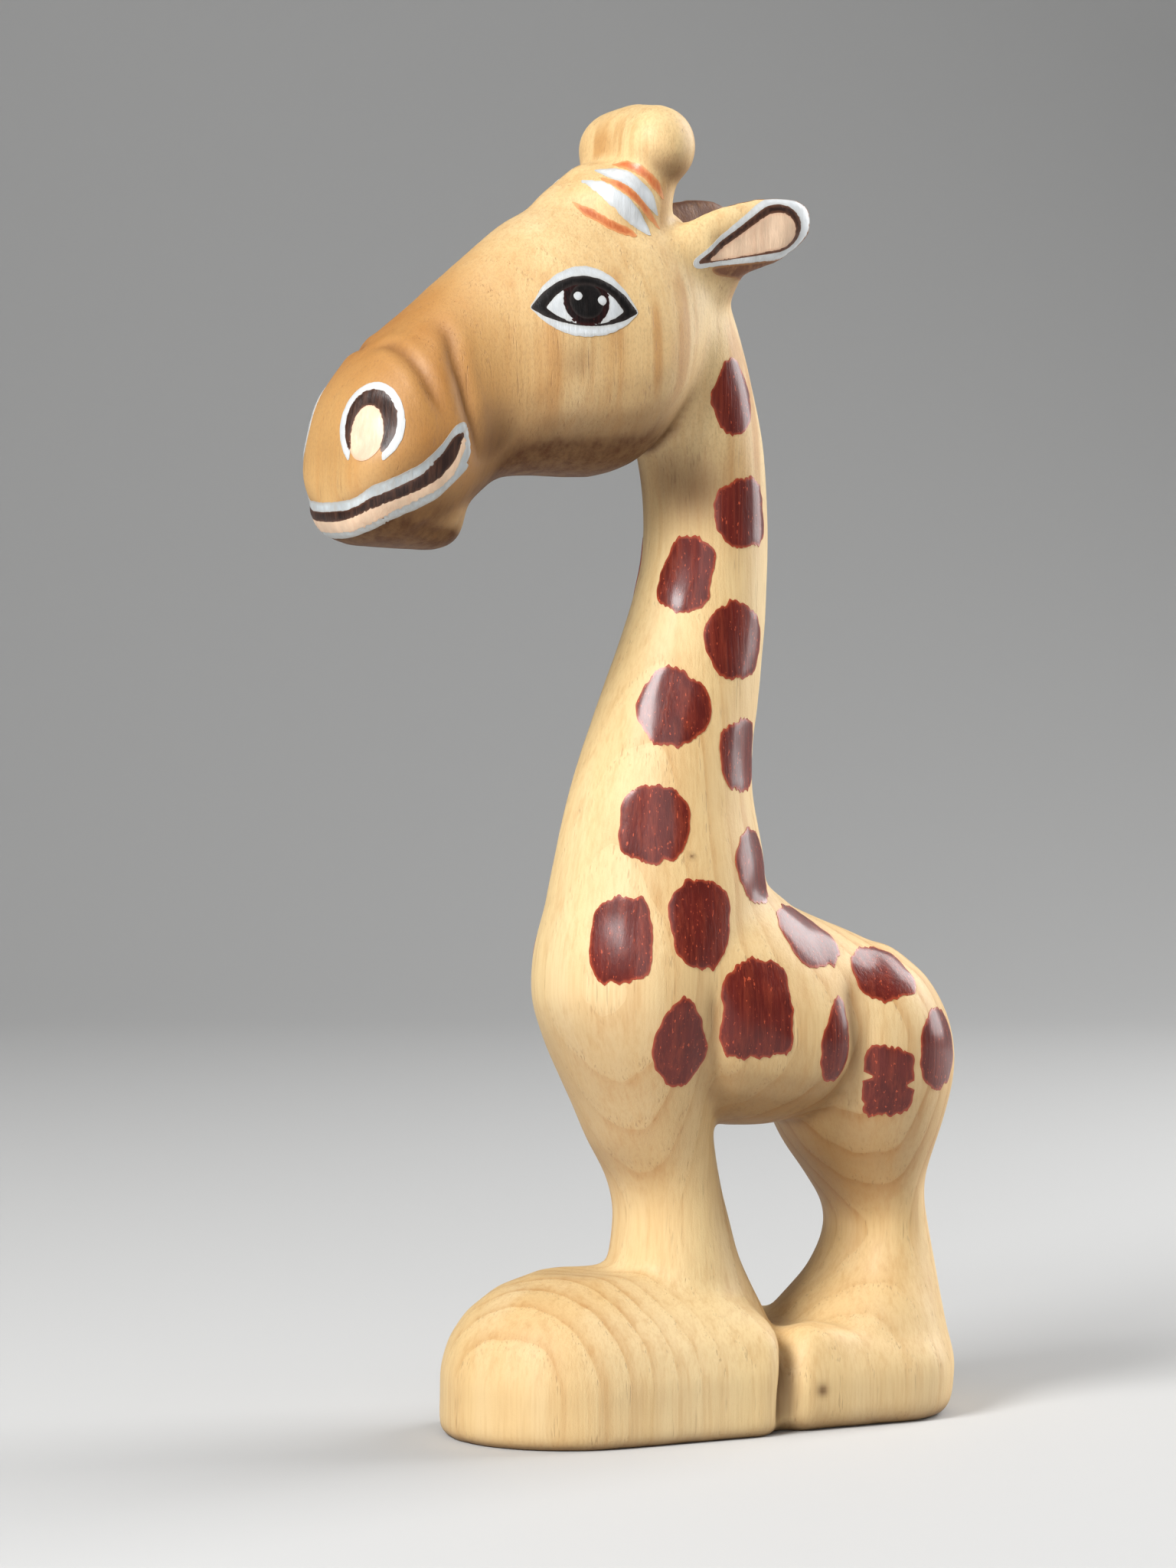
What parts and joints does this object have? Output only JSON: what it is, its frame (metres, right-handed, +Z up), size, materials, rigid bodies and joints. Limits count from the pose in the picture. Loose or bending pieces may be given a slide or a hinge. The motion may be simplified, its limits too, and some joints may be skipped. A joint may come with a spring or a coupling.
{
  "type": "carved giraffe statue",
  "caption": "Small carved wooden giraffe standing on its own foot blocks, with painted face details and dark coat patches. Table or shelf ornament.",
  "frame": {"origin": "on the table, in the middle of the bounding box seen from above", "axes": "+Z up; the giraffe faces -Y; its left side is +X"},
  "size_m": [0.033, 0.0912, 0.1749],
  "materials": {
    "wood": "pale straight-grained wood under a satin clear coat",
    "oxblood_paint": "satin brushed paint, grain showing through",
    "white_paint": "satin brushed paint",
    "black_paint": "semi-gloss brushed paint",
    "iris_paint": "semi-gloss brushed paint",
    "brown_paint": "satin brushed paint",
    "pink_paint": "thin satin paint",
    "orange_paint": "thin satin paint"
  },
  "bodies": {
    "root": {"carved_body": "wood", "left_eye_surround": "white_paint", "left_eye_liner": "black_paint", "left_eye_white": "white_paint", "left_eye_iris": "iris_paint", "left_eye_pupil": "black_paint", "left_eye_glints": "white_paint", "right_eye_surround": "white_paint", "right_eye_liner": "black_paint", "right_eye_white": "white_paint", "right_eye_iris": "iris_paint", "right_eye_pupil": "black_paint", "right_eye_glints": "white_paint", "left_nostril_ring": "white_paint", "left_nostril_shade": "brown_paint", "left_nostril_fill": "pink_paint", "right_nostril_ring": "white_paint", "right_nostril_shade": "brown_paint", "right_nostril_fill": "pink_paint", "upper_lip_line": "white_paint", "mouth_line": "brown_paint", "lower_lip": "pink_paint", "lower_lip_line": "white_paint", "left_ear_rim": "white_paint", "left_ear_line": "brown_paint", "left_ear_fill": "pink_paint", "left_ear_back": "brown_paint", "right_ear_rim": "white_paint", "right_ear_line": "brown_paint", "right_ear_fill": "pink_paint", "right_ear_back": "brown_paint", "left_forelock_white": "white_paint", "left_forelock_orange": "orange_paint", "right_forelock_white": "white_paint", "right_forelock_orange": "orange_paint", "left_neck_spots": "oxblood_paint", "left_chest_spots": "oxblood_paint", "left_flank_spots": "oxblood_paint", "left_rump_spots": "oxblood_paint", "right_neck_spots": "oxblood_paint", "right_chest_spots": "oxblood_paint", "right_flank_spots": "oxblood_paint", "right_rump_spots": "oxblood_paint"}
  },
  "joints": []
}
